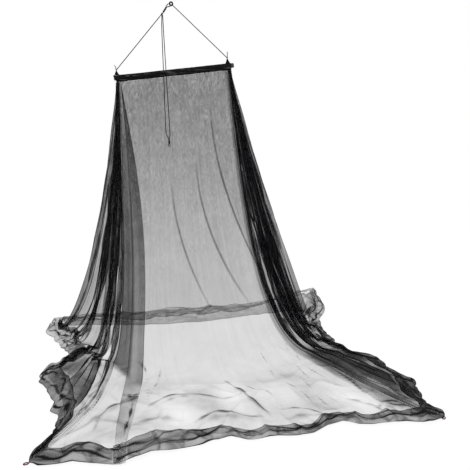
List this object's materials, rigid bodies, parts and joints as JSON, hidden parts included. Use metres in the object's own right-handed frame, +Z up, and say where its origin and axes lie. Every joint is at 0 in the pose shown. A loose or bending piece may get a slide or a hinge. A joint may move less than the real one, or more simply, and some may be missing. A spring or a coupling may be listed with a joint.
{
  "type": "mosquito net canopy and spreader bar",
  "caption": "Black net bed canopy of four sewn panels, sleeved on a round spreader bar that hangs from a V of cord, its hem spread over the floor.",
  "frame": {"origin": "the hanging point: the inner top of the cord loop that a ceiling hook carries", "axes": "+X to the right along the bar, +Y to the rear panel, +Z up; the floor lies at z = -2.248"},
  "size_m": [2.3715, 1.7623, 2.2567],
  "materials": {
    "net": "open black mesh",
    "band": "closed black cloth",
    "rope": "black braided cord",
    "bar": "painted black, satin",
    "stopper": "moulded black",
    "red_cord": "dark red cord"
  },
  "bodies": {
    "root": {"spreader_bar": "bar", "bar_sleeve": "band", "hanging_tab_left": "band", "hanging_tab_right": "band", "tie_knot_left": "rope", "tie_knot_right": "rope", "tie_tail_left": "rope", "tie_tail_right": "rope", "hanging_loop": "rope", "slip_knot": "rope", "leg_cord_left": "rope", "leg_cord_right": "rope", "hoist_cord_a": "rope", "hoist_cord_b": "rope", "pull_cord_a": "rope", "pull_cord_b": "rope", "cord_stopper": "stopper", "pull_cord_loop": "rope", "front_panel": "net", "rear_panel": "net", "side_panel_left": "net", "side_panel_right": "net", "corner_loop_left": "red_cord", "corner_loop_right": "red_cord"}
  },
  "joints": []
}
